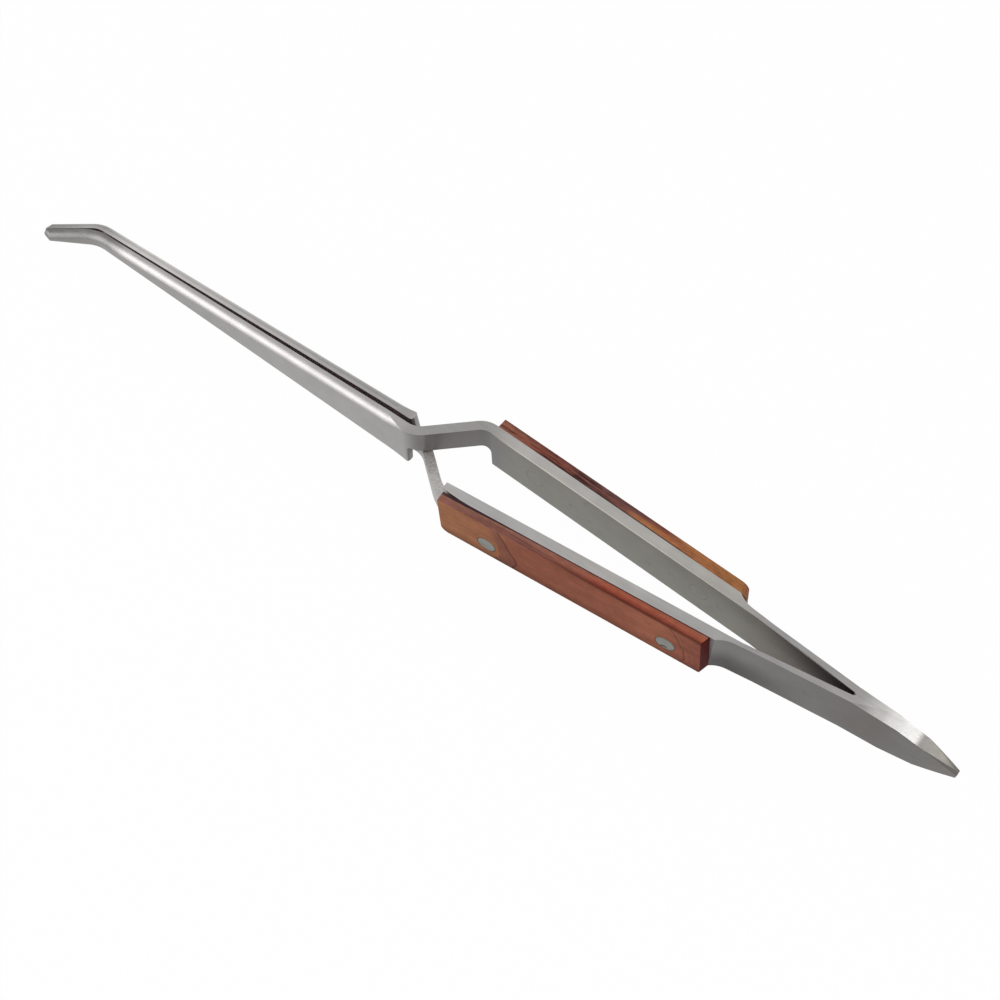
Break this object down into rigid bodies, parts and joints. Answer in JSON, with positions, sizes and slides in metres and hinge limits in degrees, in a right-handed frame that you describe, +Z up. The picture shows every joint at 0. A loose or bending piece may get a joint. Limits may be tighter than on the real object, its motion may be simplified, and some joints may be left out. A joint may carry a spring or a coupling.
{
  "type": "insulated soldering tweezers",
  "caption": "Self-closing soldering tweezers with crossing spring steel arms, riveted wooden grips and slender bent tips.",
  "frame": {"origin": "middle of the tweezers' bounding box, on the surface that they lie on", "axes": "+X towards the welded tail, +Y towards the far handle, +Z up, across the height of the strips"},
  "size_m": [0.164, 0.0164, 0.009],
  "materials": {
    "arm_steel": "satin, brushed along the strips",
    "grip_wood": "close-grained red-brown wood with dark grain lines, smooth, unvarnished",
    "rivet_metal": "rivet heads ground flush with the wood, dull"
  },
  "bodies": {
    "root": {"upper_arm": "arm_steel", "lower_arm": "arm_steel", "far_grip": "grip_wood", "near_grip": "grip_wood", "far_rear_rivet": "rivet_metal", "far_front_rivet": "rivet_metal", "near_rear_rivet": "rivet_metal", "near_front_rivet": "rivet_metal"}
  },
  "joints": []
}
